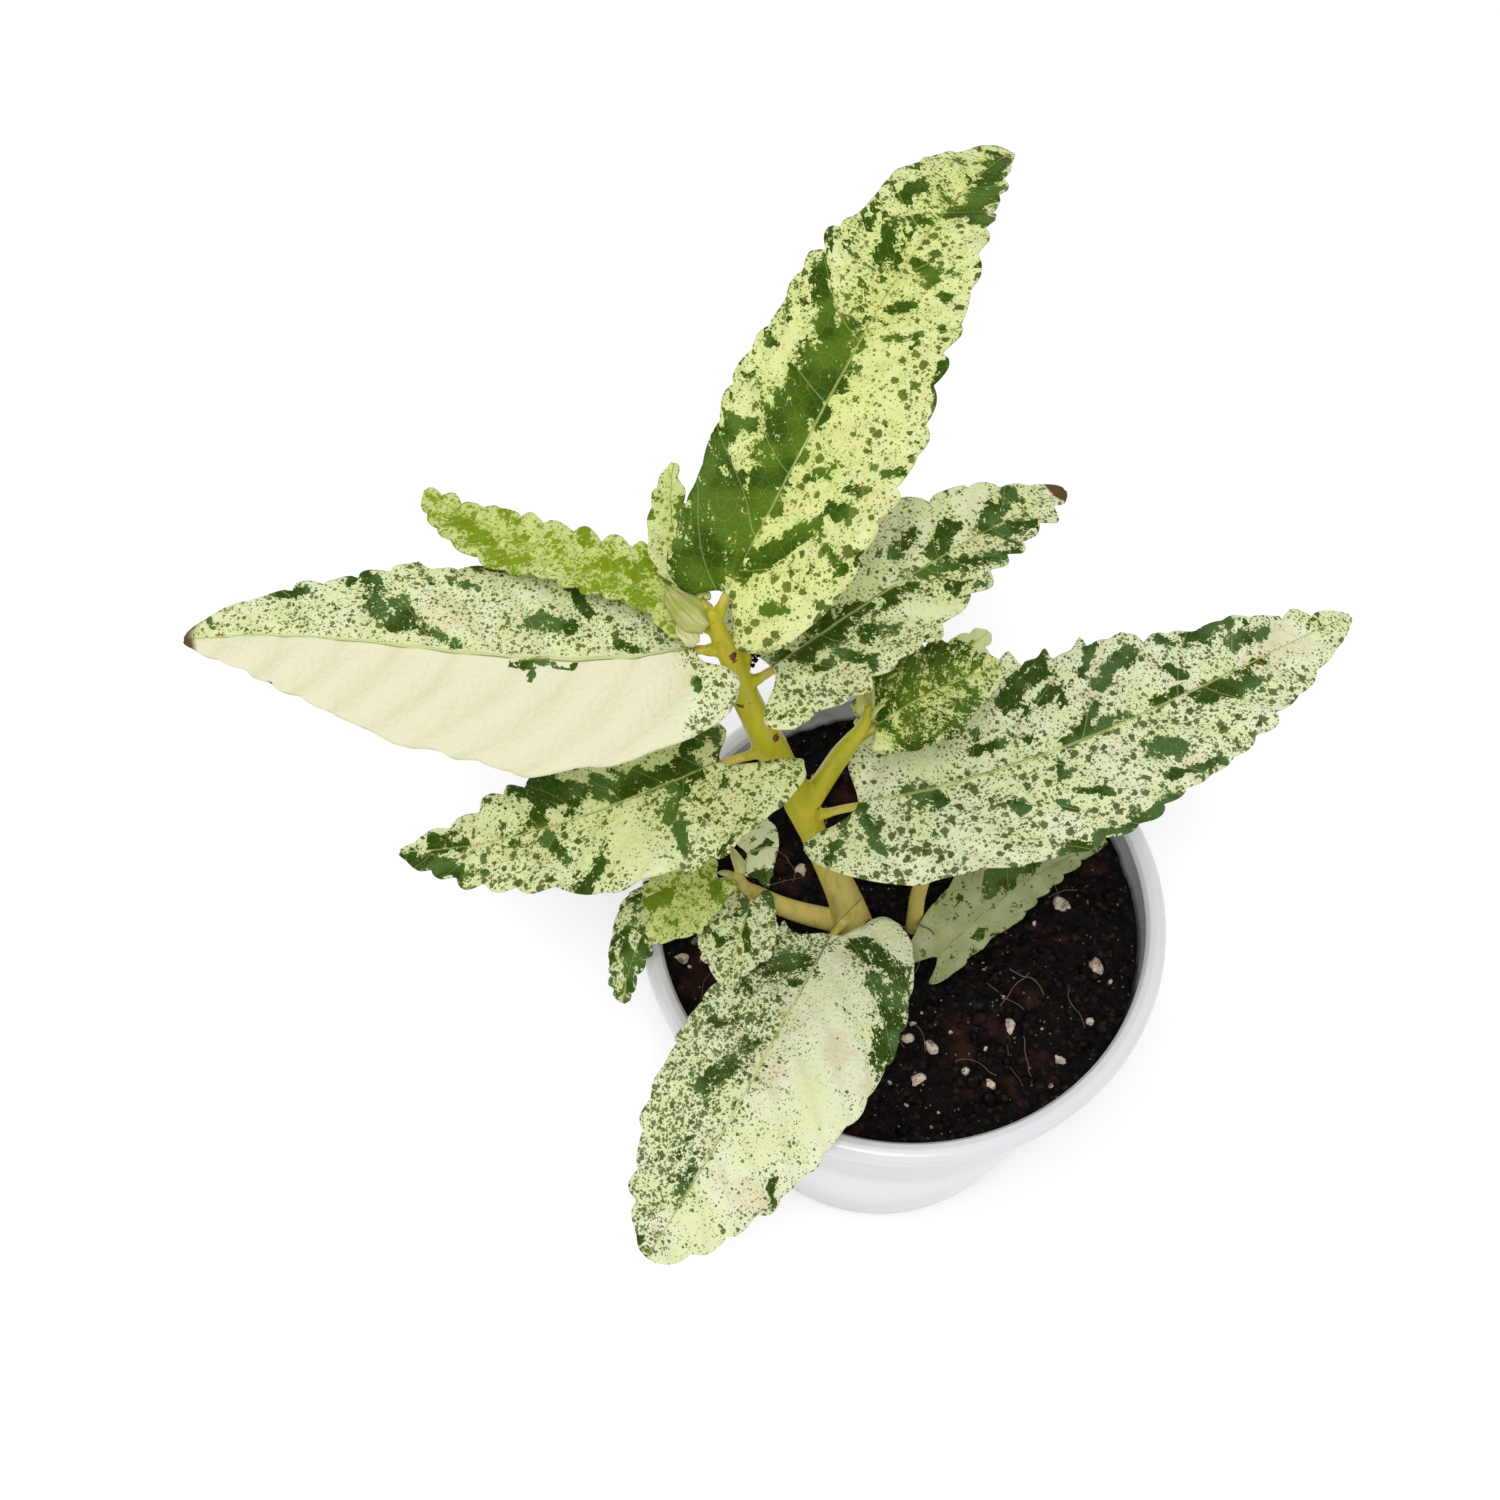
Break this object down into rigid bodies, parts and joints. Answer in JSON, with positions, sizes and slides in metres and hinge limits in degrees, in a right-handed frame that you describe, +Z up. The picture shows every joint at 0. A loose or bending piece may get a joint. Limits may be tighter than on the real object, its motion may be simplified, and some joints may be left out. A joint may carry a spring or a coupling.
{
  "type": "potted pellionia",
  "caption": "Variegated foliage houseplant with toothed cream and green leaves on a leaning stem, in a round white nursery pot filled with peat and perlite.",
  "frame": {"origin": "middle of the pot's flat underside", "axes": "+Z up along the pot's axis; -Y towards the side where the lowest big leaf hangs over the rim; the plant leans to -X"},
  "size_m": [0.1742, 0.136, 0.1824],
  "materials": {
    "white_plastic": "thin glossy moulded polypropylene, slightly translucent, with a few dark specks of peat",
    "peat": "moist crumbled peat, near black, with white perlite grains and brown fibres",
    "stem_green": "juicy yellow-green stem skin, satin, with brown scars at the nodes",
    "leaf_variegated": "satin leaf skin, cream with dark green blotches and fine speckles, net of sunken veins",
    "leaf_cream": "satin leaf skin, mostly cream, with green speckles and patches",
    "leaf_fresh": "satin young leaf skin, fresh yellow-green with cream"
  },
  "bodies": {
    "root": {"pot": "white_plastic", "soil": "peat", "stem": "stem_green", "second_stem": "stem_green", "leaf_top": "leaf_variegated", "leaf_upper_right": "leaf_variegated", "leaf_upper_left": "leaf_cream", "leaf_lower_left": "leaf_variegated", "leaf_right": "leaf_variegated", "leaf_front": "leaf_cream", "leaf_inner_right": "leaf_variegated", "leaf_behind_right": "leaf_variegated", "leaf_upper_back": "leaf_fresh", "leaf_young": "leaf_fresh", "leaf_low_right": "leaf_variegated", "leaf_side_round": "leaf_cream", "leaf_side_left": "leaf_fresh", "leaf_side_droop": "leaf_variegated", "leaf_side_front": "leaf_variegated"}
  },
  "joints": []
}
